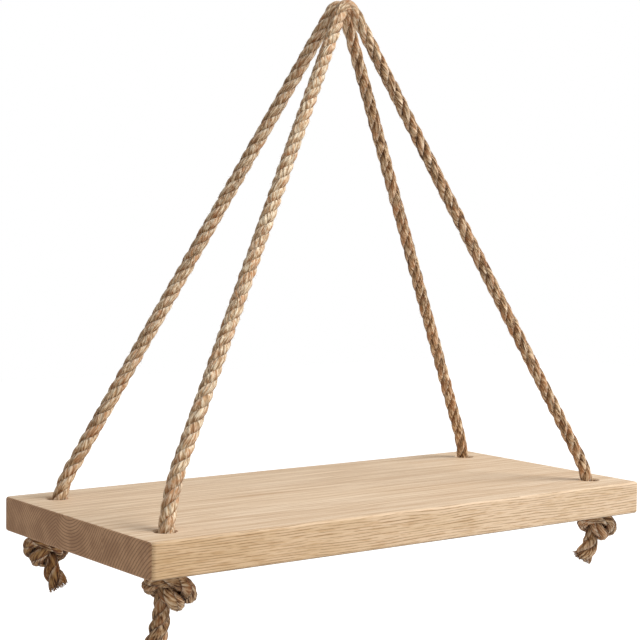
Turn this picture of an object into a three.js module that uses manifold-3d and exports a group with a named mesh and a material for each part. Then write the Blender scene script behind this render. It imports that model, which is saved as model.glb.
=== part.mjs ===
import * as THREE from 'three';
import { mergeVertices } from 'three/addons/utils/BufferGeometryUtils.js';
import Module from 'manifold-3d';

// Hanging rope shelf. A solid oak board, glued up from three staves, hangs from two ropes. Each rope lies
// over a hook with its middle, runs down through one hole near each end of the board and is stopped underneath
// by an overhand knot with a frayed tail. Units are millimetres. The origin is the middle of the hook that both
// ropes lie over. X runs along the board, Y towards its back edge and Z up.

// Board
const BOARD_LENGTH = 450;
const BOARD_DEPTH = 205;
const BOARD_THICK = 25;
const FRONT_STAVE = 62;
const MIDDLE_STAVE = 63.5;
const EDGE_ROUND = 2;
const CORNER_ROUND = 4;
const HOLE_DIAMETER = 15;
const HOLE_RIM = 1;
const HOLE_FROM_END = 27.5;
const HOLE_FROM_EDGE = 28.5;

// Rope
const ROPE = 9.5;
const HOOK_BEND = 7;
const ROPE_PITCH = 9.8;
const BOARD_DROP = 355;
const GAP = 0.3;

// Stretches of one leg, measured down the rope from where it leaves the hook
const BIGHT_END = 10;
const NECK_END = 31;
const TWIST_END = 52;

// One leg for each corner. flare is how far outside its hole the straight part of the leg points. hand, turn,
// size and shift are which way its knot is tied and turned, how large it is and how far it hangs beside its
// hole. tail is the frayed end's length, and lean and heading say how much and which way that end leans. The
// leg has turned upright at TURN_DEPTH below the top face.
const TURN_DEPTH = 18;
const CORNERS = [
  {
    name: 'front_left', x: -1, y: -1, flare: 7, hand: 1, turn: -37, size: 1, shift: [2.3, 0.8],
    tail: 34, lean: 0.22, heading: 165,
  },
  {
    name: 'front_right', x: 1, y: -1, flare: 2, hand: 1, turn: -37, size: 0.86, shift: [6, -2],
    tail: 16, lean: 0.38, heading: 145,
  },
  {
    name: 'back_left', x: -1, y: 1, flare: 2, hand: -1, turn: 122, size: 0.92, shift: [-5.2, 3.9],
    tail: 13.5, lean: 0.36, heading: -28,
  },
  {
    name: 'back_right', x: 1, y: 1, flare: 2, hand: -1, turn: 200, size: 0.92, shift: [0, 0],
    tail: 14, lean: 0.3, heading: 20,
  },
];

// Overhand knot, pulled tight. Its points lead from the underside of the board, at z = 0, round the knot and
// down into the tail. KNOT_SHIFT is how much of the shift its first points take. Inside the knot the rope is
// pulled thinner, over a length of KNOT_EASE at both ends.
const KNOT = [
  [0, 0, 0], [0, -0.2, -4.9], [-0.3, -1.8, -8.6], [-0.6, -6.2, -12.2], [2.2, -8.8, -16.2],
  [5.8, -7.4, -19.8], [7.2, -2.4, -22], [5.4, 4.2, -23.3], [1.4, 10, -21.6], [-3.4, 11.2, -19],
  [-7.6, 9, -16], [-10.4, 4.6, -13.6], [-11.2, -0.8, -11.2], [-9.9, -6.4, -8.3], [-6, -10.2, -5.6],
  [0.2, -10.6, -4.6], [6.3, -9.5, -5.4], [11.2, -7.2, -8.2], [14, -4, -12.4], [14.8, 0, -16.8],
  [13.8, 4.6, -19], [11.3, 8, -17.9], [7.4, 8.7, -15.2], [3.4, 6.4, -14], [-0.6, 2.8, -16.5],
  [-3.3, 0.6, -21.4], [-3.4, 0.5, -27],
];
const KNOT_SHIFT = [0.3, 0.7];
const KNOT_ROPE = 8;
const KNOT_EASE = 5;
const TAIL_FLARE = 1.6;

// Faceting
const HOLE_SIDES = 40;
const ROPE_SIDES = 12;
const KNOT_SIDES = 8;
const BIGHT_STEPS = 20;
const NECK_STEPS = 3;
const LEG_STEPS = 22;
const KNOT_STEPS = 64;
const TAIL_STEPS = 6;

// How far a cutting body reaches past the face that it cuts
const OVERCUT = 1;

const oakMaterial = (color) => new THREE.MeshStandardMaterial({ color, roughness: 0.62, metalness: 0 });
const ropeMaterial = () => new THREE.MeshStandardMaterial({ color: 0xc8a880, roughness: 0.9, metalness: 0 });

const wasm = await Module();
wasm.setup();

// Closed mesh to boolean solid: only positions count, and triangles that a pole has squeezed flat are dropped
function toSolid(geometry) {
  const bare = geometry.clone();
  bare.deleteAttribute('normal');
  bare.deleteAttribute('uv');
  const merged = mergeVertices(bare, 1e-4);
  const index = merged.index.array;
  const triangles = [];
  for (let i = 0; i < index.length; i += 3) {
    const [a, b, c] = [index[i], index[i + 1], index[i + 2]];
    if (a !== b && b !== c && c !== a) triangles.push(a, b, c);
  }
  return new wasm.Manifold(new wasm.Mesh({
    numProp: 3,
    vertProperties: Float32Array.from(merged.attributes.position.array),
    triVerts: Uint32Array.from(triangles),
  }));
}

function toGeometry(solid) {
  const mesh = solid.getMesh();
  const geometry = new THREE.BufferGeometry();
  geometry.setAttribute('position', new THREE.BufferAttribute(new Float32Array(mesh.vertProperties), 3));
  geometry.setIndex(new THREE.BufferAttribute(new Uint32Array(mesh.triVerts), 1));
  geometry.computeVertexNormals();
  return geometry;
}

function named(name, geometry, material) {
  const mesh = new THREE.Mesh(geometry, material);
  mesh.name = name;
  return mesh;
}

// Board blank with every outer edge rounded over, its top face at z = 0
function boardBlank() {
  const inset = EDGE_ROUND;
  const x = BOARD_LENGTH / 2 - inset;
  const y = BOARD_DEPTH / 2 - inset;
  const r = CORNER_ROUND - inset;
  const outline = new THREE.Shape();
  outline.moveTo(-x + r, -y);
  outline.lineTo(x - r, -y);
  outline.absarc(x - r, -y + r, r, -Math.PI / 2, 0);
  outline.lineTo(x, y - r);
  outline.absarc(x - r, y - r, r, 0, Math.PI / 2);
  outline.lineTo(-x + r, y);
  outline.absarc(-x + r, y - r, r, Math.PI / 2, Math.PI);
  outline.lineTo(-x, -y + r);
  outline.absarc(-x + r, -y + r, r, Math.PI, 1.5 * Math.PI);
  const blank = new THREE.ExtrudeGeometry(outline, {
    depth: BOARD_THICK - 2 * inset,
    bevelThickness: inset,
    bevelSize: inset,
    bevelSegments: 4,
    curveSegments: 5,
  });
  return blank.translate(0, 0, -BOARD_THICK + inset);
}

// What the drill and the countersink take out of the board for one rope
function holeCutter(x, y) {
  const radius = HOLE_DIAMETER / 2;
  const flared = radius + HOLE_RIM + OVERCUT;
  const profile = [
    [0, -BOARD_THICK - OVERCUT], [flared, -BOARD_THICK - OVERCUT], [radius, -BOARD_THICK + HOLE_RIM],
    [radius, -HOLE_RIM], [flared, OVERCUT], [0, OVERCUT],
  ].map(([px, py]) => new THREE.Vector2(px, py));
  return new THREE.LatheGeometry(profile, HOLE_SIDES).rotateX(Math.PI / 2).translate(x, y, 0);
}

function boardStaves() {
  const joints = [
    -BOARD_DEPTH / 2,
    -BOARD_DEPTH / 2 + FRONT_STAVE,
    -BOARD_DEPTH / 2 + FRONT_STAVE + MIDDLE_STAVE,
    BOARD_DEPTH / 2,
  ];
  let board = toSolid(boardBlank());
  for (const corner of CORNERS) {
    board = board.subtract(toSolid(holeCutter(...holeAt(corner))));
  }
  const tones = [0xd9b98c, 0xd6bd97, 0xdcc29c];
  return ['front_stave', 'middle_stave', 'back_stave'].map((name, i) => {
    const [from, to] = [joints[i], joints[i + 1]];
    const slab = new THREE.BoxGeometry(BOARD_LENGTH + OVERCUT, to - from, BOARD_THICK + OVERCUT);
    slab.translate(0, (from + to) / 2, -BOARD_THICK / 2);
    const stave = named(name, toGeometry(board.intersect(toSolid(slab))), oakMaterial(tones[i]));
    stave.position.z = -BOARD_DROP;
    return stave;
  });
}

function holeAt(corner) {
  return [
    corner.x * (BOARD_LENGTH / 2 - HOLE_FROM_END),
    corner.y * (BOARD_DEPTH / 2 - HOLE_FROM_EDGE),
  ];
}

// The stretch of rope over the hook, from its top to where it runs straight. It lies in the leaning plane
// that its rope's two legs span.
class HookArc extends THREE.Curve {
  constructor(centre, across, up, angle) {
    super();
    Object.assign(this, { centre, across, up, angle });
  }

  getPoint(t, target = new THREE.Vector3()) {
    const a = t * this.angle;
    return target.copy(this.centre)
      .addScaledVector(this.across, HOOK_BEND * Math.sin(a))
      .addScaledVector(this.up, HOOK_BEND * Math.cos(a));
  }
}

// Part of one half's line, between two lengths along it
class Stretch extends THREE.Curve {
  constructor(half, from, to) {
    super();
    Object.assign(this, { half, from, to });
  }

  getPoint(t, target = new THREE.Vector3()) {
    const s = this.from + (this.to - this.from) * t;
    return target.copy(this.half.line.getPoint(Math.min(s / this.half.end, 1)));
  }
}

// The middle of one rope: down the left leg's side by a length, over the hook, and down the right leg's side
class OverHook extends THREE.Curve {
  constructor(left, right, straight) {
    super();
    Object.assign(this, { left, right, from: -left.hook - straight, to: right.hook + straight });
  }

  getPoint(t, target = new THREE.Vector3()) {
    const s = this.from + (this.to - this.from) * t;
    const half = s < 0 ? this.left : this.right;
    return target.copy(half.line.getPoint(Math.abs(s) / half.end));
  }
}

// The knot's points under its hole. A left-handed knot is a mirrored one.
function knotPoints(corner) {
  return KNOT.map((p, i) => new THREE.Vector3(...p).multiplyScalar(corner.size)
    .multiply(new THREE.Vector3(1, corner.hand, 1))
    .applyAxisAngle(new THREE.Vector3(0, 0, 1), THREE.MathUtils.degToRad(corner.turn))
    .add(underHole(corner, KNOT_SHIFT[i] ?? 1)));
}

// Where the hole's axis meets the board's underside, moved by a share of the knot's shift
function underHole(corner, share) {
  const [hx, hy] = holeAt(corner);
  const [dx, dy] = corner.shift;
  return new THREE.Vector3(hx + dx * share, hy + dy * share, -BOARD_DROP - BOARD_THICK);
}

// The whole line of one rope half: over the hook, down the leg, through the board, round the knot, to the end
// of the tail. Also gives the lengths along it where the pieces part.
function ropeHalf(corner) {
  const [hx, hy] = holeAt(corner);
  const side = corner.y * ROPE_PITCH / 2;
  const crown = new THREE.Vector3(0, side, HOOK_BEND);
  const lean = Math.atan2(Math.abs(hy - side), BOARD_DROP + HOOK_BEND);
  const up = new THREE.Vector3(0, -corner.y * Math.sin(lean), Math.cos(lean));
  const across = new THREE.Vector3(corner.x, 0, 0);
  const centre = crown.clone().addScaledVector(up, -HOOK_BEND);

  // The leg points at a spot a little outside its hole, on the board's top face
  const reach = Math.abs(hx) + corner.flare;
  const depth = (BOARD_DROP + centre.z) / Math.cos(lean);
  const angle = Math.atan2(reach, -depth) - Math.acos(HOOK_BEND / Math.hypot(reach, depth));
  const arc = new HookArc(centre, across, up, angle);
  const leaves = arc.getPoint(1);
  const along = across.clone().multiplyScalar(Math.cos(angle)).addScaledVector(up, -Math.sin(angle));

  // It turns upright where it would cross the hole's axis
  const toAxis = (Math.abs(hx) - Math.abs(leaves.x)) / Math.abs(along.x);
  const corner3 = leaves.clone().addScaledVector(along, toAxis);
  const turn = corner3.z + BOARD_DROP + TURN_DEPTH;
  const turnStart = leaves.clone().addScaledVector(along, toAxis - turn);
  const turnEnd = new THREE.Vector3(hx, hy, -BOARD_DROP - TURN_DEPTH);
  corner3.set(hx, hy, corner3.z);

  // Below the knot the tail leans away to one side
  const knot = knotPoints(corner);
  const exit = knot[knot.length - 1];
  const heading = THREE.MathUtils.degToRad(corner.heading);
  const away = new THREE.Vector3(Math.cos(heading), Math.sin(heading), 0);
  const drop = corner.tail * Math.sqrt(1 - corner.lean ** 2);
  const tailBend = exit.clone().add(new THREE.Vector3(0, 0, -drop / 3));
  const sideways = corner.tail * corner.lean;
  const tailTip = exit.clone().add(new THREE.Vector3(0, 0, -drop)).addScaledVector(away, sideways);

  const line = new THREE.CurvePath();
  line.add(arc);
  line.add(new THREE.LineCurve3(leaves, turnStart));
  line.add(new THREE.QuadraticBezierCurve3(turnStart, corner3, turnEnd));
  line.add(new THREE.CatmullRomCurve3([turnEnd, ...knot], false, 'centripetal'));
  line.add(new THREE.QuadraticBezierCurve3(exit, tailBend, tailTip));
  const ends = line.getCurveLengths();
  const board = ends[2] + BOARD_THICK - TURN_DEPTH;
  return { line, size: corner.size, hook: ends[0], board, knot: ends[3], end: ends[4] };
}

function ropeSection(sides) {
  const section = new THREE.Shape();
  for (let i = 0; i < sides; i += 1) {
    const a = (i * 2 * Math.PI) / sides;
    const [x, y] = [Math.cos(a) * ROPE / 2, Math.sin(a) * ROPE / 2];
    if (i === 0) section.moveTo(x, y);
    else section.lineTo(x, y);
  }
  section.closePath();
  return section;
}

function ropeTube(curve, steps, sides) {
  return new THREE.ExtrudeGeometry(ropeSection(sides), { steps, extrudePath: curve });
}

// Radius of the rope inside a knot, where it is pulled thinner, at a length along its half
function knotRadius(half, s) {
  const fromEnd = Math.min(s - half.board, half.knot - s);
  const eased = THREE.MathUtils.smoothstep(fromEnd, 0, KNOT_EASE);
  return THREE.MathUtils.lerp(ROPE, KNOT_ROPE * half.size, eased) / 2;
}

// Radius of a tail, whose strands spread towards the cut end, at a share of its length
function tailRadius(t) {
  return (ROPE / 2) * (1 + (TAIL_FLARE - 1) * t * t);
}

// Tube whose radius changes along the curve
function changingTube(curve, steps, sides, radiusAt) {
  const frames = curve.computeFrenetFrames(steps, false);
  const positions = [];
  const index = [];
  for (let i = 0; i <= steps; i += 1) {
    const t = i / steps;
    const centre = curve.getPointAt(t);
    const radius = radiusAt(t);
    for (let j = 0; j < sides; j += 1) {
      const a = (j * 2 * Math.PI) / sides;
      const point = centre.clone()
        .addScaledVector(frames.normals[i], radius * Math.cos(a))
        .addScaledVector(frames.binormals[i], radius * Math.sin(a));
      positions.push(...point.toArray());
    }
  }
  for (let i = 0; i < steps; i += 1) {
    for (let j = 0; j < sides; j += 1) {
      const [a, b] = [i * sides + j, i * sides + ((j + 1) % sides)];
      index.push(a, b, b + sides, a, b + sides, a + sides);
    }
  }
  for (const [ring, t] of [[0, 0], [steps, 1]]) {
    const middle = positions.length / 3;
    positions.push(...curve.getPointAt(t).toArray());
    for (let j = 0; j < sides; j += 1) {
      const [a, b] = [ring * sides + j, ring * sides + ((j + 1) % sides)];
      if (ring === 0) index.push(middle, b, a);
      else index.push(middle, a, b);
    }
  }
  const geometry = new THREE.BufferGeometry();
  geometry.setAttribute('position', new THREE.Float32BufferAttribute(positions, 3));
  geometry.setIndex(index);
  geometry.computeVertexNormals();
  return geometry;
}

// Least gap between the rope's surface and itself inside a knot, from points along its middle
function leastGap(half) {
  const spacing = 0.5;
  const apart = 1.6 * KNOT_ROPE * half.size;
  const points = [];
  for (let s = half.board; s <= half.knot; s += spacing) {
    points.push({ at: half.line.getPoint(s / half.end), radius: knotRadius(half, s) });
  }
  let least = Infinity;
  for (let i = 0; i < points.length; i += 1) {
    for (let j = i + Math.ceil(apart / spacing); j < points.length; j += 1) {
      const gap = points[i].at.distanceTo(points[j].at) - points[i].radius - points[j].radius;
      least = Math.min(least, gap);
    }
  }
  return least;
}

function ropePieces() {
  const halves = Object.fromEntries(CORNERS.map((corner) => [corner.name, ropeHalf(corner)]));
  const pieces = new THREE.Group();
  for (const rope of ['front', 'back']) {
    const middle = new OverHook(halves[`${rope}_left`], halves[`${rope}_right`], BIGHT_END);
    pieces.add(named(`${rope}_rope_bight`, ropeTube(middle, BIGHT_STEPS, ROPE_SIDES), ropeMaterial()));
  }
  for (const corner of CORNERS) {
    const half = halves[corner.name];
    const neckEnd = half.hook + NECK_END;
    const turnEnd = half.hook + TWIST_END;
    const stretches = [
      ['upper_neck', half.hook + BIGHT_END, neckEnd, NECK_STEPS, ROPE_SIDES],
      ['lower_neck', neckEnd, turnEnd, NECK_STEPS, ROPE_SIDES],
      ['leg', turnEnd, half.board, LEG_STEPS, ROPE_SIDES],
    ];
    for (const [name, start, to, steps, sides] of stretches) {
      const tube = ropeTube(new Stretch(half, start + GAP, to), steps, sides);
      pieces.add(named(`${corner.name}_${name}`, tube, ropeMaterial()));
    }
    const from = half.board + GAP;
    const radiusAt = (t) => knotRadius(half, from + (half.knot - from) * t);
    const knot = changingTube(new Stretch(half, from, half.knot), KNOT_STEPS, KNOT_SIDES, radiusAt);
    pieces.add(named(`${corner.name}_knot`, knot, ropeMaterial()));
    const cut = new Stretch(half, half.knot + GAP, half.end);
    const tail = changingTube(cut, TAIL_STEPS, ROPE_SIDES, tailRadius);
    pieces.add(named(`${corner.name}_tail`, tail, ropeMaterial()));
  }
  const gap = Math.min(...CORNERS.map((corner) => leastGap(halves[corner.name])));
  console.log(`least gap of a knot's rope to itself: ${gap.toFixed(2)} mm`);
  return pieces;
}

const shelf = new THREE.Group();
shelf.add(...boardStaves());
shelf.add(ropePieces());

export default shelf;
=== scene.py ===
import math

import bpy
import numpy as np
from mathutils import Matrix, Vector


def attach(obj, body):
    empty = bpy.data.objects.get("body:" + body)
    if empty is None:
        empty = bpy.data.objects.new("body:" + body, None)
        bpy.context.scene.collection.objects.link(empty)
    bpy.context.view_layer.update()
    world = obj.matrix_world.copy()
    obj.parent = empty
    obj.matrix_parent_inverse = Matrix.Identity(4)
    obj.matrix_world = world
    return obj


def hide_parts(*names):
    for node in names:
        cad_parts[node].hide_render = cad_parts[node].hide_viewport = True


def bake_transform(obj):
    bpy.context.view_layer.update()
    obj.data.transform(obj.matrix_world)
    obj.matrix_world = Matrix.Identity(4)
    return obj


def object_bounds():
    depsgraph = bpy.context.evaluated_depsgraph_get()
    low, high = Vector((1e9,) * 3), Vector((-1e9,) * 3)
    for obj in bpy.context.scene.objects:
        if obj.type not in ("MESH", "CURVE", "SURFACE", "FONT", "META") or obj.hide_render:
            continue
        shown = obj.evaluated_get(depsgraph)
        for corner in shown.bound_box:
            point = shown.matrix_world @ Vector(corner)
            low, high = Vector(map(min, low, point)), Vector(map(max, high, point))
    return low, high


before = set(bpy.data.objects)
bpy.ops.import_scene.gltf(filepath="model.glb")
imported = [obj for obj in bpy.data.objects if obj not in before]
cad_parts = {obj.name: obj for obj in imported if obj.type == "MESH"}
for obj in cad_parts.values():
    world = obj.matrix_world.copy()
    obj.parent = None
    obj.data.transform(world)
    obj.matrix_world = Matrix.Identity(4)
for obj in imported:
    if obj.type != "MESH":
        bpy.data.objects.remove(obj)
cad_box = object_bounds()

# Camera. It stands in front of the shelf and to its left, a little under the hook, and looks slightly down
# through a long lens. Its place was fitted to the board's corners and holes and the ropes in the photograph.

CAMERA_PLACE = Vector((-0.75685, -0.97514, -0.14958))
CAMERA_HEADING = math.radians(37.178)
CAMERA_TILT = math.radians(-3.588)
CAMERA_ROLL = 0.0145
CAMERA_LENS = 92.23
CAMERA_SENSOR = 36
CAMERA_NEAR = 0.05

looks = Vector((
    math.sin(CAMERA_HEADING) * math.cos(CAMERA_TILT),
    math.cos(CAMERA_HEADING) * math.cos(CAMERA_TILT),
    math.sin(CAMERA_TILT),
))
level = Vector((math.cos(CAMERA_HEADING), -math.sin(CAMERA_HEADING), 0))
upright = level.cross(looks)
camera_right = level * math.cos(CAMERA_ROLL) + upright * math.sin(CAMERA_ROLL)
camera_up = upright * math.cos(CAMERA_ROLL) - level * math.sin(CAMERA_ROLL)

camera = bpy.data.objects.new("camera", bpy.data.cameras.new("camera"))
camera.data.lens = CAMERA_LENS
camera.data.sensor_width = CAMERA_SENSOR
camera.data.clip_start = CAMERA_NEAR
camera_axes = Matrix((camera_right, camera_up, -looks)).transposed()
camera.matrix_world = Matrix.Translation(CAMERA_PLACE) @ camera_axes.to_4x4()
bpy.context.scene.collection.objects.link(camera)
bpy.context.scene.camera = camera


# Ropes. Two lengths of three-strand jute rope, 9.5 mm thick, lie side by side over the hook. Each end slants
# down to its hole, turns upright in it and is stopped under the board by an overhand knot with a frayed tail.
# Here each side is cut twice just below the hook, where the rope bends as the shelf swings.

HOOK_BEND = 0.007
ROPE_PITCH = 0.0098
BOARD_DROP = 0.355
BOARD_THICK = 0.025
HOLE_X = 0.1975
HOLE_Y = 0.074
BIGHT_END = 0.010
NECK_END = 0.031
TURN_DEPTH = 0.018
LINE_STEP = 0.001
HOOK_POINTS = 40
BEND_POINTS = 48
KNOT_POINTS = 24

# How the rope half at each corner of the board runs, and how it looks. Thick is its thickness at the hook and
# at the board, where the rope's own is 1. Tones are how much paler (up to 1) or darker (down to -1) it is
# near the hook, near the board and in the knot. They are partly the rope's own tone and partly painted light
# and shade, and the knot's darkness is partly painted shade under the board. Strand shading is how strongly
# one side of each strand gets painted shade and the other side painted light.
CORNERS = {
    "front_left": dict(
        x=-1, y=-1, flare=0.007, hand=1, turn=-37, size=1, shift=(0.0023, 0.0008),
        tail=0.034, lean=0.22, heading=165, lay=0.0285,
        thick=(1.04, 1.14), tones=(1, 0.8, -0.5), grime=0.65,
    ),
    "front_right": dict(
        x=1, y=-1, flare=0.002, hand=1, turn=-37, size=0.86, shift=(0.006, -0.002),
        tail=0.016, lean=0.38, heading=145, lay=0.036,
        thick=(0.99, 0.98), tones=(-0.25, -0.1, -0.2), grime=0.9,
    ),
    "back_left": dict(
        x=-1, y=1, flare=0.002, hand=-1, turn=122, size=0.92, shift=(-0.0052, 0.0039),
        tail=0.0135, lean=0.36, heading=-28, lay=0.0325,
        thick=(1.03, 1.07), tones=(0.65, 0.65, -1), grime=0.85,
    ),
    "back_right": dict(
        x=1, y=1, flare=0.002, hand=-1, turn=200, size=0.92, shift=(0, 0),
        tail=0.014, lean=0.3, heading=20, lay=0.0395,
        thick=(0.98, 0.98), tones=(-0.2, 0.1, -0.4), grime=0.9,
    ),
}

# The knot's path from the underside of the board, at z = 0, down into the tail, and how much of a corner's
# shift its first points take
KNOT = [
    (0, 0, 0), (0, -0.0002, -0.0049), (-0.0003, -0.0018, -0.0086), (-0.0006, -0.0062, -0.0122),
    (0.0022, -0.0088, -0.0162), (0.0058, -0.0074, -0.0198), (0.0072, -0.0024, -0.022),
    (0.0054, 0.0042, -0.0233), (0.0014, 0.01, -0.0216), (-0.0034, 0.0112, -0.019),
    (-0.0076, 0.009, -0.016), (-0.0104, 0.0046, -0.0136), (-0.0112, -0.0008, -0.0112),
    (-0.0099, -0.0064, -0.0083), (-0.006, -0.0102, -0.0056), (0.0002, -0.0106, -0.0046),
    (0.0063, -0.0095, -0.0054), (0.0112, -0.0072, -0.0082), (0.014, -0.004, -0.0124),
    (0.0148, 0, -0.0168), (0.0138, 0.0046, -0.019), (0.0113, 0.008, -0.0179),
    (0.0074, 0.0087, -0.0152), (0.0034, 0.0064, -0.014), (-0.0006, 0.0028, -0.0165),
    (-0.0033, 0.0006, -0.0214), (-0.0034, 0.0005, -0.027),
]
KNOT_SHIFT = (0.3, 0.7)


def knot_points(corner):
    turned = Matrix.Rotation(math.radians(corner["turn"]), 3, "Z")
    flipped = Vector((1, corner["hand"], 1))
    under = Vector((corner["x"] * HOLE_X, corner["y"] * HOLE_Y, -BOARD_DROP - BOARD_THICK))
    shares = [*KNOT_SHIFT, *[1] * (len(KNOT) - len(KNOT_SHIFT))]
    return [
        under + turned @ (Vector(p) * corner["size"] * flipped) + Vector((*corner["shift"], 0)) * share
        for p, share in zip(KNOT, shares)
    ]


def smooth_through(points):
    """A centripetal Catmull-Rom line through the points."""
    ends = [2 * points[0] - points[1], *points, 2 * points[-1] - points[-2]]
    line = []
    for p0, p1, p2, p3 in zip(ends, ends[1:], ends[2:], ends[3:]):
        d0, d1, d2 = math.sqrt((p1 - p0).length), math.sqrt((p2 - p1).length), math.sqrt((p3 - p2).length)
        out = ((p1 - p0) / d0 - (p2 - p0) / (d0 + d1) + (p2 - p1) / d1) * d1
        into = ((p2 - p1) / d1 - (p3 - p1) / (d1 + d2) + (p3 - p2) / d2) * d1
        squared = 3 * (p2 - p1) - 2 * out - into
        cubed = 2 * (p1 - p2) + out + into
        for t in np.linspace(0, 1, KNOT_POINTS, endpoint=False).tolist():
            line.append(p1 + out * t + squared * t ** 2 + cubed * t ** 3)
    return line + [points[-1]]


def bend(a, b, c):
    """A curve from a to c that leaves a and reaches c as if both ends pointed at b."""
    steps = np.linspace(0, 1, BEND_POINTS).tolist()
    return [(1 - t) ** 2 * a + 2 * t * (1 - t) * b + t ** 2 * c for t in steps]


def straight(a, b):
    steps = max(2, round((b - a).length / LINE_STEP))
    return [a.lerp(b, t) for t in np.linspace(0, 1, steps).tolist()]


def measure(line):
    """How far each point of a line lies from its start, along the line."""
    return np.concatenate([[0], np.cumsum([(b - a).length for a, b in zip(line, line[1:])])])


def rope_half(corner):
    """The middle line of one rope half, from over the hook to its tail's tip, and where its stretches end."""
    hole = Vector((corner["x"] * HOLE_X, corner["y"] * HOLE_Y, -BOARD_DROP - BOARD_THICK))
    side = corner["y"] * ROPE_PITCH / 2
    lean = math.atan2(abs(hole.y - side), BOARD_DROP + HOOK_BEND)
    up = Vector((0, -corner["y"] * math.sin(lean), math.cos(lean)))
    across = Vector((corner["x"], 0, 0))
    centre = Vector((0, side, HOOK_BEND)) - HOOK_BEND * up
    reach = HOLE_X + corner["flare"]
    depth = (BOARD_DROP + centre.z) / math.cos(lean)
    angle = math.atan2(reach, -depth) - math.acos(HOOK_BEND / math.hypot(reach, depth))
    arc = [
        centre + HOOK_BEND * (math.sin(a) * across + math.cos(a) * up)
        for a in np.linspace(0, angle, HOOK_POINTS).tolist()
    ]
    along = math.cos(angle) * across - math.sin(angle) * up
    to_axis = (HOLE_X - abs(arc[-1].x)) / abs(along.x)
    corner_z = (arc[-1] + along * to_axis).z
    turn = corner_z + BOARD_DROP + TURN_DEPTH
    turn_start = arc[-1] + along * (to_axis - turn)
    turn_end = Vector((hole.x, hole.y, -BOARD_DROP - TURN_DEPTH))
    knot = smooth_through([turn_end, *knot_points(corner)])
    drop = corner["tail"] * math.sqrt(1 - corner["lean"] ** 2)
    heading = math.radians(corner["heading"])
    away = Vector((math.cos(heading), math.sin(heading), 0)) * corner["tail"] * corner["lean"]
    below = Vector((0, 0, -drop))
    stretches = [
        arc, straight(arc[-1], turn_start), bend(turn_start, Vector((hole.x, hole.y, corner_z)), turn_end),
        knot, bend(knot[-1], knot[-1] + below / 3, knot[-1] + below + away),
    ]
    line = stretches[0] + [p for stretch in stretches[1:] for p in stretch[1:]]
    lengths = measure(line)
    ends = np.cumsum([len(stretch) - 1 for stretch in stretches])
    board = lengths[ends[2]] + BOARD_THICK - TURN_DEPTH
    return {
        "line": line, "hook": lengths[ends[0]], "board": board,
        "knot": lengths[ends[3]], "tip": lengths[-1],
    }


def evenly(line):
    """The same line with a point every LINE_STEP."""
    lengths = measure(line)
    at = np.linspace(0, lengths[-1], round(lengths[-1] / LINE_STEP) + 1)
    places = [np.interp(at, lengths, [p[axis] for p in line]) for axis in range(3)]
    return at, np.stack(places, axis=1)


def eased(value, low, high):
    """0 below low and 1 above high, with a smooth rise."""
    t = np.clip((value - low) / (high - low), 0, 1)
    return t * t * (3 - 2 * t)


# The crown's tone, partly painted light, and where the tones change near the crown and near the board
CROWN_TONE = 0.5
CROWN_FADE = (0.015, 0.06)
BOARD_FADE = (0.06, 0.02)
# How much of a corner's painted strand shading is left at the crown, and how far from it the shading is full
CROWN_STRAND_SHADING = 0.3
CROWN_SHADING_REACH = 0.02
KNOT_THICK = 1.08
KNOT_EASE = 0.005
TAIL_THICK = 1.15
TAIL_OPENING = 0.6


def rope_course(corner, half, away):
    """How one half of a rope changes along its length, at these distances from the crown."""
    pressed = eased(np.minimum(away - half["board"], half["knot"] - away), 0, KNOT_EASE)
    thick = 1 + (np.interp(away, [0, half["board"]], corner["thick"]) - 1) * eased(away, 0, NECK_END)
    thick += (TAIL_THICK - thick) * eased(away, half["knot"] - KNOT_EASE, half["knot"])
    thick += (KNOT_THICK * corner["size"] - thick) * pressed
    near_top, near_board, under = corner["tones"]
    stops = [*CROWN_FADE, *(half["board"] - above for above in BOARD_FADE), half["board"]]
    return {
        "turns": away / corner["lay"],
        "thick": thick,
        "pressed": pressed,
        "opened": np.clip((away - half["knot"]) / (half["tip"] - half["knot"]), 0, 1) ** TAIL_OPENING,
        "tone": np.interp(away, stops, [CROWN_TONE, near_top, near_board, near_board, under]),
        "grime": corner["grime"] * np.clip(away / CROWN_SHADING_REACH, CROWN_STRAND_SHADING, 1),
    }


class Wire:
    """One output of a node. Sums on it add Math nodes to its tree."""

    def __init__(self, tree, socket):
        self.tree, self.socket = tree, socket

    def __add__(self, other):
        return self.tree.math("ADD", self, other)

    def __radd__(self, other):
        return self.tree.math("ADD", other, self)

    def __sub__(self, other):
        return self.tree.math("SUBTRACT", self, other)

    def __rsub__(self, other):
        return self.tree.math("SUBTRACT", other, self)

    def __mul__(self, other):
        return self.tree.math("MULTIPLY", self, other)

    def __rmul__(self, other):
        return self.tree.math("MULTIPLY", other, self)

    def __truediv__(self, other):
        return self.tree.math("DIVIDE", self, other)

    def __rtruediv__(self, other):
        return self.tree.math("DIVIDE", other, self)

    def __neg__(self):
        return self.tree.math("MULTIPLY", self, -1)

    def __abs__(self):
        return self.tree.math("ABSOLUTE", self)


class Made:
    """A node that has been added. Its outputs are read by name or number."""

    def __init__(self, tree, node):
        self.tree, self.node = tree, node

    def __getitem__(self, key):
        return Wire(self.tree, self.node.outputs[key])


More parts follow.
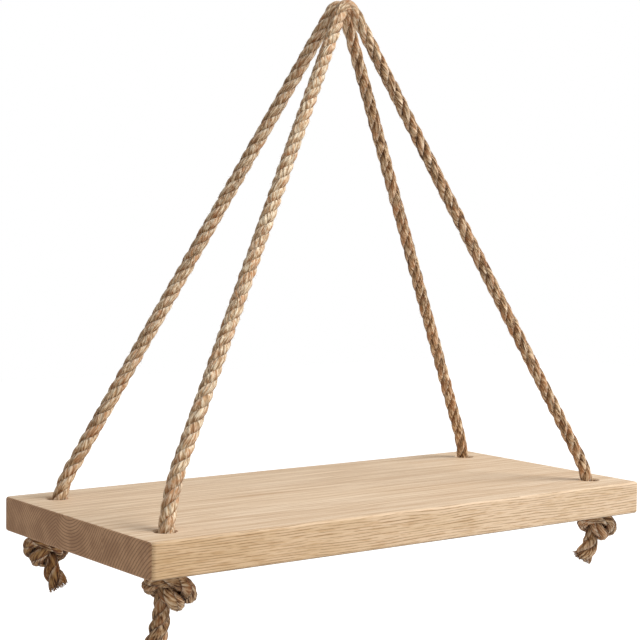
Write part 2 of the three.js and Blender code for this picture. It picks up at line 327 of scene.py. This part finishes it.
class Tree:
    """A node tree, for a material or for geometry."""

    def __init__(self, node_tree):
        self.node_tree = node_tree

    def add(self, kind, settings=None, inputs=None):
        """Adds one node. Settings are set first, then each input gets its value, its link or its links."""
        node = self.node_tree.nodes.new(kind)
        for name, value in (settings or {}).items():
            if name == "stops":
                self.set_stops(node.color_ramp, value)
            else:
                setattr(node, name, value)
        for key, value in (inputs or {}).items():
            for wire in value if isinstance(value, list) else [value]:
                if isinstance(wire, Wire):
                    self.node_tree.links.new(wire.socket, node.inputs[key])
                else:
                    node.inputs[key].default_value = value
        return Made(self, node)

    @staticmethod
    def set_stops(ramp, stops):
        while len(ramp.elements) < len(stops):
            ramp.elements.new(1)
        for element, (place, stop) in zip(ramp.elements, stops):
            element.position = place
            element.color = stop

    def math(self, operation, *values):
        return self.add("ShaderNodeMath", {"operation": operation}, dict(enumerate(values)))["Value"]

    def vector(self, operation, *values):
        return self.add("ShaderNodeVectorMath", {"operation": operation}, dict(enumerate(values)))["Vector"]

    def scale(self, vector, by):
        inputs = {"Vector": vector, "Scale": by}
        return self.add("ShaderNodeVectorMath", {"operation": "SCALE"}, inputs)["Vector"]

    def split(self, vector):
        parts = self.add("ShaderNodeSeparateXYZ", inputs={"Vector": vector})
        return parts["X"], parts["Y"], parts["Z"]

    def join(self, x, y, z):
        return self.add("ShaderNodeCombineXYZ", inputs={"X": x, "Y": y, "Z": z})["Vector"]

    def mix(self, factor, a, b):
        """Colour a where factor is 0 and b where it is 1."""
        return self.add("ShaderNodeMix", {"data_type": "RGBA"}, {0: factor, 6: a, 7: b})[2]

    def shade(self, a, b):
        """Colour a multiplied by colour b."""
        settings = {"data_type": "RGBA", "blend_type": "MULTIPLY"}
        return self.add("ShaderNodeMix", settings, {0: 1, 6: a, 7: b})[2]

    def noise(self, vector, scale, detail=2.0, roughness=0.5):
        inputs = {"Vector": vector, "Scale": scale, "Detail": detail, "Roughness": roughness}
        return self.add("ShaderNodeTexNoise", inputs=inputs)["Fac"]

    def between(self, value, low, high):
        """0 below low and 1 above high, or the other way round, with a smooth rise."""
        inputs = {"Value": value, "From Min": low, "From Max": high}
        return self.add("ShaderNodeMapRange", {"interpolation_type": "SMOOTHSTEP"}, inputs)["Result"]

    def surface(self, strength, distance, height, inputs):
        """Ends a material with one shader, whose surface rises and falls with height."""
        bump = self.add("ShaderNodeBump", inputs={
            "Strength": strength, "Distance": distance, "Height": height,
        })["Normal"]
        shader = self.add("ShaderNodeBsdfPrincipled", inputs={**inputs, "Normal": bump})["BSDF"]
        self.add("ShaderNodeOutputMaterial", inputs={"Surface": shader})


def new_material(name):
    """An empty material and its tree."""
    material = bpy.data.materials.new(name)
    material.use_nodes = True
    material.node_tree.nodes.clear()
    return material, Tree(material.node_tree)


def colour(red, green, blue):
    """A colour given as it looks on a screen, 0 to 255, as Blender's own linear one."""
    def linear(v):
        v /= 255
        return v / 12.92 if v <= 0.04045 else ((v + 0.055) / 1.055) ** 2.4
    return (linear(red), linear(green), linear(blue), 1)


def grey(value):
    return (value, value, value, 1)


JUTE_LIGHT = colour(255, 230, 196)
JUTE_MID = colour(206, 166, 122)
JUTE_DARK = colour(108, 72, 42)
# Colour of the painted shade in the gaps between yarns and between strands
JUTE_GROOVE_SHADE = colour(84, 56, 34)
JUTE_PALE = colour(255, 240, 212)
JUTE_STRAW = colour(216, 177, 134)
# Colour of the painted light on one side of each strand
JUTE_PAINTED_LIGHT = colour(250, 230, 208)
JUTE_RUST = colour(196, 138, 92)
JUTE_SHADED = (0.54, 0.41, 0.25, 1)
# Multiplier for the painted shade on the other side of each strand
JUTE_PAINTED_SHADE = (0.46, 0.34, 0.2, 1)
FIBRE_SIZE = 0.001
FIBRE_STRETCH = 0.14
FIBRE_STOPS = (0.39, 0.49, 0.59)
BUNDLE_SIZE = FIBRE_SIZE / 0.35
BUNDLE_SHARE = 0.2
PATCHES = 60
PATCH_SHADE = grey(0.85)
RUSTS = 90
RUST_SHARE = 0.7
RUST_LEFT_OUT = 0.4
YARNS = 8
# How much painted shade goes into the gaps between yarns and between strands, and how much more where the
# tail opens
GAP_SHADE_DEPTH = 0.5
GROOVE_SHADE_DEPTH = 0.35
GROOVE_SHADE_IN_TAIL = 0.5
PALE_SHARE = 0.65
# How much painted light goes on one side of each strand, and how evenly the painted shade covers the other
# side
PAINTED_LIGHT_SHARE = 0.5
PAINTED_SHADE_EVEN = 0.5
JUTE_RELIEF = 0.0007
JUTE_ROUGHNESS = 0.9


def jute_material():
    """Straw-coloured fibres that run along the yarns, with painted shade where two strands meet and painted
    light and shade on the strands' sides.
    """
    material, tree = new_material("jute")
    yarn = tree.add("ShaderNodeAttribute", {"attribute_name": "yarn"})["Vector"]
    groove, grime, tone, opened = (
        tree.add("ShaderNodeAttribute", {"attribute_name": name})["Fac"]
        for name in ("groove", "grime", "tone", "opened")
    )
    x, y, run = tree.split(yarn)
    fibre = tree.noise(tree.join(x, y, run * FIBRE_STRETCH), 1 / FIBRE_SIZE, 3, 0.6)
    bundle = tree.noise(tree.join(x, y, run * FIBRE_STRETCH * 2), 1 / BUNDLE_SIZE, 1)
    patch = tree.noise(tree.join(x * 0.5, y * 0.5, run), PATCHES)
    rust = tree.noise(tree.join(x * 2, y * 2, run + 3), RUSTS)
    swell = tree.math("COSINE", tree.math("ARCTAN2", y, x) * YARNS)

    # Fibres from dark to light, older in patches, with painted shade in the gaps between yarns and between
    # strands
    fibre_tone = tree.add("ShaderNodeValToRGB", {
        "stops": list(zip(FIBRE_STOPS, (JUTE_DARK, JUTE_MID, JUTE_LIGHT))),
    }, {"Fac": fibre * (1 - BUNDLE_SHARE) + bundle * BUNDLE_SHARE})["Color"]
    aged = tree.shade(fibre_tone, tree.mix(tree.between(patch, 0.35, 0.65), PATCH_SHADE, grey(1)))
    gap_shade = tree.between(swell, -0.35, -0.9) * tree.between(bundle, 0.65, 0.4)
    aged = tree.mix(gap_shade * GAP_SHADE_DEPTH, aged, JUTE_GROOVE_SHADE)
    groove_shade = tree.between(groove, 0.65, 1.0) * tree.between(fibre, 0.7, 0.4)
    aged = tree.mix(groove_shade * (GROOVE_SHADE_DEPTH + opened * GROOVE_SHADE_IN_TAIL), aged, JUTE_GROOVE_SHADE)

    # Paler or darker along the rope, partly its own tone and partly painted light and shade, with some
    # rust-coloured fibres
    straw = tree.mix(tree.between(fibre, 0.42, 0.58), JUTE_STRAW, JUTE_PALE)
    pale = tree.mix(tree.math("MAXIMUM", tone, 0.0) * PALE_SHARE, aged, straw)
    rust_share = RUST_SHARE - tree.between(fibre, 0.4, 0.6) * RUST_LEFT_OUT
    rusty = tree.mix(tree.between(rust, 0.48, 0.62) * rust_share, pale, JUTE_RUST)
    toned = tree.mix(tree.math("MAXIMUM", -tone, 0.0), rusty, tree.shade(rusty, JUTE_SHADED))

    # Painted light on one side of each strand, and painted shade on the other side
    painted_light = tree.between(grime, -0.2, -0.8) * tree.between(fibre, 0.4, 0.6)
    dressed = tree.mix(painted_light * PAINTED_LIGHT_SHARE, toned, JUTE_PAINTED_LIGHT)
    broken_up = PAINTED_SHADE_EVEN + tree.between(fibre, 0.65, 0.4) * (1 - PAINTED_SHADE_EVEN)
    painted_shade = tree.between(grime, -0.2, 0.9) * broken_up
    base = tree.mix(painted_shade, dressed, tree.shade(dressed, JUTE_PAINTED_SHADE))

    tree.surface(1.0, JUTE_RELIEF, fibre * 0.5 + bundle * 0.3 + swell * 0.35, {
        "Base Color": base, "Roughness": JUTE_ROUGHNESS, "Specular IOR Level": 0.25,
        "Sheen Weight": 0.1, "Sheen Roughness": 0.6,
    })
    return material


def new_group(name, inputs, output):
    """A Geometry Nodes tree with these inputs, by name and kind, and one output, and its input node."""
    group = bpy.data.node_groups.new(name, "GeometryNodeTree")
    for label, kind in inputs.items():
        group.interface.new_socket(label, in_out="INPUT", socket_type=f"NodeSocket{kind}")
    group.interface.new_socket(output, in_out="OUTPUT", socket_type="NodeSocketGeometry")
    tree = Tree(group)
    return tree, tree.add("NodeGroupInput")


def end_group(tree, output, geometry, material):
    """Ends a Geometry Nodes tree with real meshes that wear their material."""
    real = tree.add("GeometryNodeRealizeInstances", inputs={"Geometry": geometry})["Geometry"]
    dressed = tree.add("GeometryNodeSetMaterial", inputs={"Geometry": real, "Material": material})
    tree.add("NodeGroupOutput", inputs={output: dressed["Geometry"]})
    return tree.node_tree


def stored(tree, name, kind="FLOAT"):
    """What an attribute says of each point, in a Geometry Nodes tree."""
    return tree.add("GeometryNodeInputNamedAttribute", {"data_type": kind}, {"Name": name})["Attribute"]


def store(tree, geometry, name, value, kind="FLOAT"):
    inputs = {"Geometry": geometry, "Name": name, "Value": value}
    return tree.add("GeometryNodeStoreNamedAttribute", {"data_type": kind}, inputs)["Geometry"]


FIBRE_CURVE = 3
FIBRE_SIDES = 3
FIBRE_ASTRAY = 0.6
FIBRE_SIZES = (0.4, 1.0)


def loose_fibres(tree, surface, chosen, density, length, thick, lift, paler, seed):
    """Short bent fibres that grow out of a rope's surface and lie mostly along it, towards its tail."""
    roots = tree.add("GeometryNodeDistributePointsOnFaces", inputs={
        "Mesh": surface, "Selection": chosen, "Density": density, "Seed": seed,
    })
    toned = store(tree, roots["Points"], "tone", stored(tree, "tone") + paler)
    bent = tree.add("GeometryNodeCurveQuadraticBezier", inputs={
        "Resolution": FIBRE_CURVE, "Start": (0, 0, 0), "Middle": (0, 0, 0.5 * length),
        "End": (0.35 * length, 0.1 * length, 0.9 * length),
    })
    section = tree.add("GeometryNodeCurvePrimitiveCircle", {"mode": "RADIUS"}, {
        "Resolution": FIBRE_SIDES, "Radius": thick / 2,
    })
    fibre = tree.add("GeometryNodeCurveToMesh", inputs={
        "Curve": bent["Curve"], "Profile Curve": section["Curve"], "Fill Caps": True,
    })
    astray = tree.add("FunctionNodeRandomValue", {"data_type": "FLOAT_VECTOR"}, {
        "Min": (-1, -1, -1), "Max": (1, 1, 1), "Seed": seed + 1,
    })["Value"]
    lifted = tree.vector("ADD", stored(tree, "runs", "FLOAT_VECTOR"), tree.scale(roots["Normal"], lift))
    points = tree.vector("ADD", lifted, tree.scale(astray, FIBRE_ASTRAY))
    turn = tree.add("FunctionNodeAlignRotationToVector", {"axis": "Z"}, {"Vector": points})["Rotation"]
    size = tree.add("FunctionNodeRandomValue", {"data_type": "FLOAT"}, {
        2: FIBRE_SIZES[0], 3: FIBRE_SIZES[1], "Seed": seed + 2,
    })[1]
    return tree.add("GeometryNodeInstanceOnPoints", inputs={
        "Points": toned, "Instance": fibre["Mesh"], "Rotation": turn, "Scale": size,
    })["Instances"]


STRAND_RADIUS = 0.00348
STRAND_OFFSET = 0.0014
YARN_TWIST = 1.45
PRESSED_OFFSET = 0.8
OPENED_RADIUS = 0.12
OPENED_OFFSET = 0.95
YARN_DEPTH = 0.0002
YARN_SHIFT = 0.001
WOBBLE = 0.0007
WOBBLES = 90
ROPE_SIDES = 60
RING_STEP = 0.001
STRAY_LENGTH = 0.0023
STRAY_THICK = 0.00011
STRAY_DENSITY = 130000
STRAY_LIFT = 0.5
STRAY_PALER = 0.8
STRAY_SEED = 4
STRAYS_UNTIL = 0.02
FULL_TURN = 2 * math.pi
THIRD_TURN = FULL_TURN / 3


def rope_tree(material):
    """Geometry Nodes tree that lays a three-strand rope along a stretch of the line that it is given."""
    sizes = ("From", "To", "Way", "Strand Radius", "Strand Offset")
    tree, given = new_group("laid_rope", {"Line": "Geometry", **dict.fromkeys(sizes, "Float")}, "Rope")
    start, end = given["From"], given["To"]
    line = tree.add("GeometryNodeMeshToCurve", inputs={"Mesh": given["Line"]})["Curve"]

    # A plain tube, one unit long, whose points are then moved to their places along the stretch
    tube = tree.add("GeometryNodeMeshCylinder", {"fill_type": "NGON"}, {
        "Vertices": ROPE_SIDES, "Side Segments": tree.math("ROUND", (end - start) / RING_STEP),
        "Radius": 1.0, "Depth": 1.0,
    })
    x, y, z = tree.split(tree.add("GeometryNodeInputPosition")["Position"])
    run = start + (z + 0.5) * (end - start)
    here = tree.add("GeometryNodeSampleCurve", {"mode": "LENGTH"}, {"Curves": line, "Length": run})
    side = tree.vector("CROSS_PRODUCT", here["Tangent"], here["Normal"])

    # What changes along the rope, as it is stored on the line's points
    turns, thick, pressed, opened, tone, grime = (
        tree.add("GeometryNodeSampleCurve", {"mode": "LENGTH", "data_type": "FLOAT"}, {
            "Curves": line, "Value": stored(tree, name), "Length": run,
        })["Value"]
        for name in ("turns", "thick", "pressed", "opened", "tone", "grime")
    )
    offset = given["Strand Offset"] * (1 - pressed * (1 - PRESSED_OFFSET))
    radius = given["Strand Radius"] + given["Strand Offset"] - offset
    radius = radius * thick * (1 + opened * OPENED_RADIUS)
    offset = offset * thick * (1 + opened * OPENED_OFFSET)

    # Three round strands side by side, seen in a section that turns with them
    angle = tree.math("ARCTAN2", y, x)
    in_strand = (tree.math("FRACT", angle / THIRD_TURN + 0.5) - 0.5) * THIRD_TURN
    sine, cosine = tree.math("SINE", in_strand), tree.math("COSINE", in_strand)
    reach = offset * cosine + tree.math("SQRT", radius * radius - offset * offset * sine * sine)
    round_strand = tree.math("ARCTAN2", reach * sine, reach * cosine - offset)
    yarn_angle = round_strand + turns * (FULL_TURN * YARN_TWIST)
    wobble = tree.noise(tree.join(x * 0.5, y * 0.5, run * WOBBLES), 1.0) - 0.5
    reach = reach + tree.math("COSINE", yarn_angle * YARNS) * YARN_DEPTH + wobble * WOBBLE
    turned = angle + turns * FULL_TURN
    outward = tree.vector(
        "ADD",
        tree.scale(here["Normal"], tree.math("COSINE", turned)),
        tree.scale(side, tree.math("SINE", turned)),
    )
    place = tree.vector("ADD", here["Position"], tree.scale(outward, reach))

    # What the material needs to know of each point, stored before it is moved into place
    across = in_strand / (THIRD_TURN / 2)
    yarn = tree.join(
        tree.math("COSINE", yarn_angle) * STRAND_RADIUS + angle * YARN_SHIFT,
        tree.math("SINE", yarn_angle) * STRAND_RADIUS,
        run,
    )
    laid = store(tree, tube["Mesh"], "groove", abs(across))
    # Strand shading is signed across each strand: the material paints shade on one side and light on the
    # other
    laid = store(tree, laid, "grime", across * grime)
    laid = store(tree, laid, "tone", tone)
    laid = store(tree, laid, "opened", opened)
    laid = store(tree, laid, "yarn", yarn, "FLOAT_VECTOR")
    laid = store(tree, laid, "runs", tree.scale(here["Tangent"], given["Way"]), "FLOAT_VECTOR")
    laid = tree.add("GeometryNodeSetPosition", inputs={"Geometry": laid, "Position": place})["Geometry"]
    laid = tree.add("GeometryNodeSetShadeSmooth", inputs={
        "Geometry": laid, "Shade Smooth": tube["Side"],
    })["Geometry"]

    # Stray fibres grow from the sides, as far as the tail where it opens
    closed = tube["Side"] - stored(tree, "opened") / STRAYS_UNTIL
    strays = loose_fibres(
        tree, laid, closed, STRAY_DENSITY, STRAY_LENGTH, STRAY_THICK, STRAY_LIFT, STRAY_PALER, STRAY_SEED
    )
    joined = tree.add("GeometryNodeJoinGeometry", inputs={"Geometry": [strays, laid]})
    return end_group(tree, "Rope", joined["Geometry"], material)


FRAY_LENGTH = 0.0035
FRAY_THICK = 0.00045
FRAY_DENSITY = 1200000.0
FRAY_FROM = (0.85, 0.99)
FRAY_LIFT = 0.15
FRAY_SEED = 9


def fray_tree(material):
    """Geometry Nodes tree that grows the loose ends of the yarns out of a tail's tip."""
    tree, given = new_group("fray", {"Rope": "Geometry", "Density": "Float", "Seed": "Int"}, "Fray")
    density = tree.between(stored(tree, "opened"), *FRAY_FROM) * given["Density"]
    ends = loose_fibres(
        tree, given["Rope"], True, density, FRAY_LENGTH, FRAY_THICK, FRAY_LIFT, 0.0, given["Seed"]
    )
    return end_group(tree, "Fray", ends, material)


def grow(name, base, group, sizes):
    """A plain mesh object made by running a Geometry Nodes tree on a base mesh with these sizes."""
    carrier = bpy.data.objects.new("carrier", base)
    bpy.context.scene.collection.objects.link(carrier)
    modifier = carrier.modifiers.new("grow", "NODES")
    modifier.node_group = group
    sockets = {item.name: item.identifier for item in group.interface.items_tree if item.in_out == "INPUT"}
    for size, value in sizes.items():
        modifier[sockets[size]] = value
    evaluated = carrier.evaluated_get(bpy.context.evaluated_depsgraph_get())
    mesh = bpy.data.meshes.new_from_object(evaluated)
    bpy.data.objects.remove(carrier)
    mesh.name = name
    made = bpy.data.objects.new(name, mesh)
    bpy.context.scene.collection.objects.link(made)
    return made


def line_mesh(name, points, course):
    """A mesh of one line, with what changes along it stored on its points."""
    mesh = bpy.data.meshes.new(name)
    mesh.from_pydata([tuple(p) for p in points], [(i, i + 1) for i in range(len(points) - 1)], [])
    for key, values in course.items():
        mesh.attributes.new(key, "FLOAT", "POINT").data.foreach_set("value", values)
    return mesh


def lay_rope(name, base, start, end, way):
    """The stretch of a rope between two places on its line. Way is 1 where the tail lies ahead, or -1."""
    return grow(name, base, laid_rope, {
        "From": start, "To": end, "Way": way,
        "Strand Radius": STRAND_RADIUS, "Strand Offset": STRAND_OFFSET,
    })


jute = jute_material()
laid_rope = rope_tree(jute)
fray = fray_tree(jute)

for rope in ("front", "back"):
    left, right = rope_half(CORNERS[f"{rope}_left"]), rope_half(CORNERS[f"{rope}_right"])
    middle = left["tip"]
    at, whole = evenly(left["line"][:0:-1] + right["line"])
    on_left = rope_course(CORNERS[f"{rope}_left"], left, np.abs(at - middle))
    on_right = rope_course(CORNERS[f"{rope}_right"], right, np.abs(at - middle))
    on_left["turns"] = -on_left["turns"]
    course = {key: np.where(at < middle, on_left[key], on_right[key]) for key in on_left}
    base = line_mesh(f"{rope}_rope_line", whole, course)

    ends = [middle - left["hook"] - BIGHT_END, middle + right["hook"] + BIGHT_END]
    crown = lay_rope(f"{rope}_crown", base, *ends, 1.0)
    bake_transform(crown)
    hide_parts(f"{rope}_rope_bight")

    for hand, half, way in (("left", left, -1.0), ("right", right, 1.0)):
        name = f"{rope}_{hand}"
        cuts = [middle + way * (half["hook"] + BIGHT_END), middle + way * (half["hook"] + NECK_END)]
        neck = lay_rope(f"{name}_neck", base, *sorted(cuts), way)
        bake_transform(neck)
        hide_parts(f"{name}_upper_neck")

        cuts = [cuts[1], middle + way * half["tip"]]
        leg = lay_rope(f"{name}_rope", base, *sorted(cuts), way)
        tuft = grow(f"{name}_fray", leg.data, fray, {"Density": FRAY_DENSITY, "Seed": FRAY_SEED})
        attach(tuft, "shelf")
        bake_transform(leg)
        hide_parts(*(f"{name}_{part}" for part in ("lower_neck", "leg", "knot", "tail")))
        reached = measure(half["line"])
        path = [p for p, far in zip(half["line"], reached) if far >= half["hook"] + NECK_END]
        half["tip"] - half["hook"] - NECK_END


# Board. Three staves of pale oak are glued edge to edge, planed and oiled, with every edge eased. The growth
# rings change direction at both glue lines, which shows on the sawn ends. Two holes at each end take the
# ropes.

BOARD_HALF_LENGTH = 0.225
BOARD_HALF_DEPTH = 0.1025
BOARD_TOP = -BOARD_DROP
BOARD_UNDERSIDE = BOARD_TOP - BOARD_THICK

# Each stave's log: where its pith lies from the middle of the board's top face, and its rings' spacing
STAVES = {
    "front_stave": (-0.184, -0.110, 0.0027),
    "middle_stave": (0.008, 0.0185, 0.0023),
    "back_stave": (-0.004, -0.060, 0.0022),
}
PITH_WANDER = (0.010, 0.012)
RING_WAVER = 0.0009

OAK_SAND = colour(233, 206, 175)
OAK_CREAM = colour(243, 221, 193)
OAK_STREAK = colour(206, 172, 134)
OAK_STRIPE = colour(200, 164, 122)
OAK_RING = colour(186, 150, 110)
OAK_HAIR = colour(190, 152, 112)
OAK_PORE = colour(168, 132, 94)
STRIPE_SPACING = 0.008
STRIPE_BEND = 6
STRENGTHS = 300

EDGE_TAN = colour(224, 195, 160)
EDGE_CREAM = colour(232, 204, 172)
EDGE_RING = colour(188, 152, 110)
EDGE_LEFT_SHADE = colour(236, 226, 208)
LINE_SHADE = (0.5, 0.42, 0.34, 1)
DASH_SHADE = (0.84, 0.78, 0.7, 1)
THREAD_SPACING = 0.0019
THREAD_BEND = 5

# Where each of these begins and is full, from the board's own faces
EDGE_ZONE = (0.0020, 0.0012)
END_ZONE = (0.0013, 0.0009)
UNDER_EDGE_SHADE_ZONE = (0.0012, 0.0004)
TOP_EDGE_HIGHLIGHT_ZONE = (0.0016, 0.0008)
# Colours of the painted shade on the lower rounded edge and of the painted highlight on the upper one
UNDER_EDGE_SHADE = colour(132, 112, 92)
TOP_EDGE_HIGHLIGHT = colour(248, 226, 198)

END_BROWN = colour(178, 135, 99)
END_TAN = colour(200, 156, 117)
END_RING = colour(128, 90, 60)
END_SPECK = colour(120, 84, 56)
BLOTCHES = 70.0
OAK_RELIEF = 0.0003
OAK_BUMP = 0.35
OAK_ROUGHNESS = 0.6
PORE_ROUGHNESS = 0.15

# Noise that is drawn out along the board: changes a metre along it and across it, detail and roughness
GRAIN = {
    "pith": (3, 6, 2, 0.5),
    "clouds": (5, 22, 2, 0.5),
    "streaks": (6, 260, 3, 0.55),
    "bend": (6, 9, 2, 0.5),
    "hairs": (10, 750, 2, 0.6),
    "stripes": (12, 130, 2, 0.5),
    "waver": (20, 160, 2, 0.5),
    "hues": (30, 220, 2, 0.5),
    "specks": (50, 1500, 2, 0.6),
    "threads": (55, 500, 2, 0.6),
    "dashes": (70, 1000, 2, 0.6),
    "pores": (90, 2200, 2, 0.6),
}


def grain(tree, place, kind):
    """One kind of noise from the table above, between 0 and 1."""
    x, y, z = place
    along, across, detail, roughness = GRAIN[kind]
    return tree.noise(tree.join(x * along, y * across, z * across), 1.0, detail, roughness)


def soft_lines(tree, steps, peak, end):
    """A soft line in each whole step: full at peak, and gone at 0 and at end."""
    within = tree.math("FRACT", steps)
    return tree.between(within, 0.0, peak) * tree.between(within, end, peak)


def growth_rings(tree, place, pith_y, pith_z, ring):
    """How far across its growth ring each place is, 0 to 1, and how far from the pith, which wanders."""
    x, y, z = place
    aside = grain(tree, place, "pith")
    above = tree.noise(tree.join(x * 2.2 + 7, y * 3, z * 3), 1.0)
    dy = y - pith_y + (aside - 0.5) * PITH_WANDER[0]
    dz = z - (BOARD_TOP + pith_z) + (above - 0.5) * PITH_WANDER[1]
    from_pith = tree.math("SQRT", dy * dy + dz * dz)
    waver = (grain(tree, place, "waver") - 0.5) * RING_WAVER
    return tree.math("FRACT", (from_pith + waver) / ring), from_pith


def top_grain(tree, place, line, from_pith, pore, streaks):
    """The planed face: broad stripes, streaks, rings that come and go, fine hairs and pores."""
    x, y, _ = place
    bend = (grain(tree, place, "bend") - 0.5) * STRIPE_BEND
    stripe = soft_lines(tree, y / STRIPE_SPACING + bend, 0.3, 0.6)
    stripe = stripe * tree.between(grain(tree, place, "stripes"), 0.4, 0.6)
    strength = tree.noise(tree.join(from_pith * STRENGTHS, 0.0, x * 4), 1.0, 1)
    hairs = grain(tree, place, "hairs")
    face = tree.mix(grain(tree, place, "clouds"), OAK_SAND, OAK_CREAM)
    face = tree.mix(tree.between(streaks, 0.45, 0.58) * 0.4, face, OAK_STREAK)
    face = tree.mix(stripe * 0.45, face, OAK_STRIPE)
    face = tree.mix(line * tree.between(strength, 0.2, 0.8) * 0.35, face, OAK_RING)
    face = tree.mix(tree.between(hairs, 0.5, 0.62) * 0.55, face, OAK_HAIR)
    return tree.mix(pore * 0.4, face, OAK_PORE)


def edge_grain(tree, place, phase, early):
    """The front and back edges: thin wavy lines and short dashes, with painted shade that makes them a little
    darker to the left.
    """
    x, y, z = place
    waves = (tree.noise(tree.join(x * 7, y * 10, z * 35), 1.0, 2, 0.45) - 0.5) * THREAD_BEND
    threads = soft_lines(tree, z / THREAD_SPACING + waves, 0.2, 0.45)
    threads = threads * tree.between(grain(tree, place, "threads"), 0.35, 0.55)
    dashes = tree.between(grain(tree, place, "dashes"), 0.5, 0.66)
    hues = tree.between(grain(tree, place, "hues"), 0.35, 0.65)
    face = tree.mix(hues, EDGE_TAN, EDGE_CREAM)
    face = tree.mix(tree.between(phase, 0.66, 0.98) * early * 0.2, face, EDGE_RING)
    face = tree.shade(face, tree.mix(threads, grey(1), LINE_SHADE))
    face = tree.shade(face, tree.mix(dashes, grey(1), DASH_SHADE))
    # Painted shade, a little darker to the left
    return tree.shade(face, tree.mix(tree.between(x, -0.3, 0.15), EDGE_LEFT_SHADE, grey(1)))


def end_grain(tree, place, line):
    """The sawn ends: dark rings on brown blotches, with open pores."""
    specks = grain(tree, place, "specks")
    blotches = tree.between(tree.noise(tree.join(*place), BLOTCHES, 3), 0.35, 0.65)
    face = tree.mix(blotches, END_BROWN, END_TAN)
    face = tree.mix(line * 0.9, face, END_RING)
    return tree.mix(tree.between(specks, 0.5, 0.75) * 0.3, face, END_SPECK)


def oak_material(name, pith_y, pith_z, ring):
    """Oak sawn from a log whose pith lies at (pith_y, pith_z) from the middle of the board's top face."""
    material, tree = new_material(name)
    place = x, y, z = tree.split(tree.add("ShaderNodeTexCoord")["Object"])
    phase, from_pith = growth_rings(tree, place, pith_y, pith_z, ring)
    early = tree.between(phase, 0.0, 0.12)
    line = tree.between(phase, 0.55, 0.98) * early
    pore = tree.between(grain(tree, place, "pores"), 0.60, 0.72)
    streaks = grain(tree, place, "streaks")
    at_edge = tree.between(abs(y), *(BOARD_HALF_DEPTH - inside for inside in EDGE_ZONE))
    at_end = tree.between(abs(x), *(BOARD_HALF_LENGTH - inside for inside in END_ZONE))
    top = top_grain(tree, place, line, from_pith, pore, streaks)
    base = tree.mix(at_edge, top, edge_grain(tree, place, phase, early))

    # Painted shade along the rounded lower edge, and a painted highlight along the upper one
    under_edge_shade = tree.between(z, *(BOARD_UNDERSIDE + above for above in UNDER_EDGE_SHADE_ZONE)) * at_edge
    base = tree.mix(under_edge_shade * 0.6, base, UNDER_EDGE_SHADE)
    top_edge_highlight = tree.between(z, *(BOARD_TOP - below for below in TOP_EDGE_HIGHLIGHT_ZONE)) * at_edge
    base = tree.mix(top_edge_highlight * 0.15, base, TOP_EDGE_HIGHLIGHT)
    base = tree.mix(at_end, base, end_grain(tree, place, line))

    tree.surface(OAK_BUMP, OAK_RELIEF, -(line * 0.5 + pore * 0.6 + streaks * 0.4), {
        "Base Color": base, "Roughness": OAK_ROUGHNESS + pore * PORE_ROUGHNESS, "Specular IOR Level": 0.35,
    })
    return material


for name, (pith_y, pith_z, ring) in STAVES.items():
    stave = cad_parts[name]
    stave.data.materials.clear()
    stave.data.materials.append(oak_material(name, pith_y, pith_z, ring))


# Studio. A pale floor lies well below the shelf, in front of a white surround. The light is soft: a large
# lamp from the front, right and above, and an even surround.

FLOOR_BELOW = 0.5
FLOOR_REACH = 6
FLOOR_COLOUR = grey(0.8)
FLOOR_GLOW = 0.8
SURROUND = 0.45
LAMP_PLACE = Vector((1.5, -1.8, 2.0))
LAMP_AIM = Vector((0, 0, -0.25))
LAMP_SIZE = 2.2
LAMP_POWER = 104

lowest = cad_box[0].z - FLOOR_BELOW
corners = [(x * FLOOR_REACH, y * FLOOR_REACH, lowest) for x, y in ((-1, -1), (1, -1), (1, 1), (-1, 1))]
floor_mesh = bpy.data.meshes.new("floor")
floor_mesh.from_pydata(corners, [], [(0, 1, 2, 3)])
floor = bpy.data.objects.new("floor", floor_mesh)
bpy.context.scene.collection.objects.link(floor)
floor_material, tree = new_material("floor")
seen = tree.add("ShaderNodeLightPath")["Is Camera Ray"]
shader = tree.add("ShaderNodeBsdfPrincipled", inputs={
    "Base Color": FLOOR_COLOUR, "Roughness": 0.9,
    "Emission Color": grey(1), "Emission Strength": seen * FLOOR_GLOW,
})["BSDF"]
tree.add("ShaderNodeOutputMaterial", inputs={"Surface": shader})
floor_mesh.materials.append(floor_material)

world = bpy.data.worlds.new("studio")
bpy.context.scene.world = world
world.use_nodes = True
world.node_tree.nodes.clear()
tree = Tree(world.node_tree)
seen = tree.add("ShaderNodeLightPath")["Is Camera Ray"]
surround = tree.add("ShaderNodeBackground", inputs={
    "Color": grey(1), "Strength": SURROUND + seen * (1 - SURROUND),
})["Background"]
tree.add("ShaderNodeOutputWorld", inputs={"Surface": surround})

lamp = bpy.data.objects.new("lamp", bpy.data.lights.new("lamp", "AREA"))
lamp.data.size = LAMP_SIZE
lamp.data.energy = LAMP_POWER
lamp.location = LAMP_PLACE
lamp.rotation_mode = "QUATERNION"
lamp.rotation_quaternion = (LAMP_AIM - LAMP_PLACE).to_track_quat("-Z", "Y")
bpy.context.scene.collection.objects.link(lamp)

bpy.context.scene.view_settings.view_transform = "Standard"
